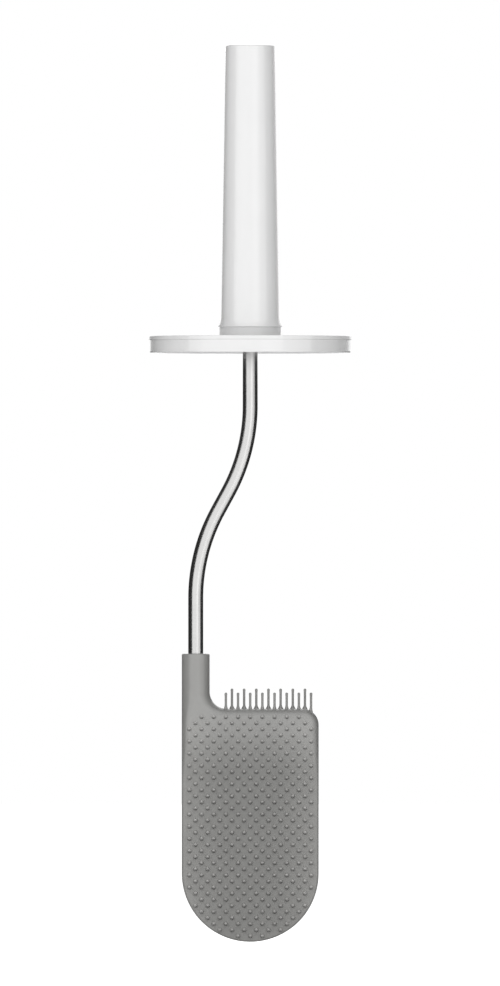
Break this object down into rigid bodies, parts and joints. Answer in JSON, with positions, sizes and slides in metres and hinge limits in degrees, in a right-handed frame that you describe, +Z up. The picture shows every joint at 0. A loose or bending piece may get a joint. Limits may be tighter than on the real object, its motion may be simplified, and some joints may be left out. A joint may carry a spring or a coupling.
{
  "type": "toilet brush",
  "caption": "Toilet brush with a tapered handle, a round holder lid, a bent steel tube and a flat silicone head with nubs and a row of comb pins.",
  "frame": {"origin": "bottom centre of the bounding box: under the tip of the head, on the axis of the handle and the lid", "axes": "+Z up along the handle, +X towards the comb's side of the head, -Y towards the nubbed face that the picture shows"},
  "size_m": [0.095, 0.095, 0.42],
  "materials": {
    "white_gloss": "glossy white moulded plastic",
    "white_matte": "plain moulded plastic, inside parts",
    "pale_grey": "pale grey moulded plastic",
    "polished_steel": "polished stainless steel",
    "brass": "turned",
    "grey_silicone": "matte moulded silicone",
    "core_grey": "plain moulded plastic, inside part",
    "black_rubber": "matte"
  },
  "bodies": {
    "brush": {"handle_shell": "white_gloss", "handle_cap": "white_gloss", "handle_core": "white_matte", "handle_screw": "polished_steel", "screw_washer": "polished_steel", "tube_insert": "brass", "collar": "pale_grey", "lid": "white_gloss", "lid_nut": "white_matte", "tube_seal": "black_rubber", "steel_tube": "polished_steel", "tube_plug": "white_matte", "plug_ring": "black_rubber"},
    "head": {"head_core": "core_grey", "head_skin": "grey_silicone", "front_nubs": "grey_silicone", "back_nubs": "grey_silicone", "comb": "grey_silicone"}
  },
  "joints": [
    {"name": "head_pull_off", "type": "slide", "parent": "brush", "child": "head", "axis": [0, 0, -1], "range_m": [0, 0.035]}
  ]
}
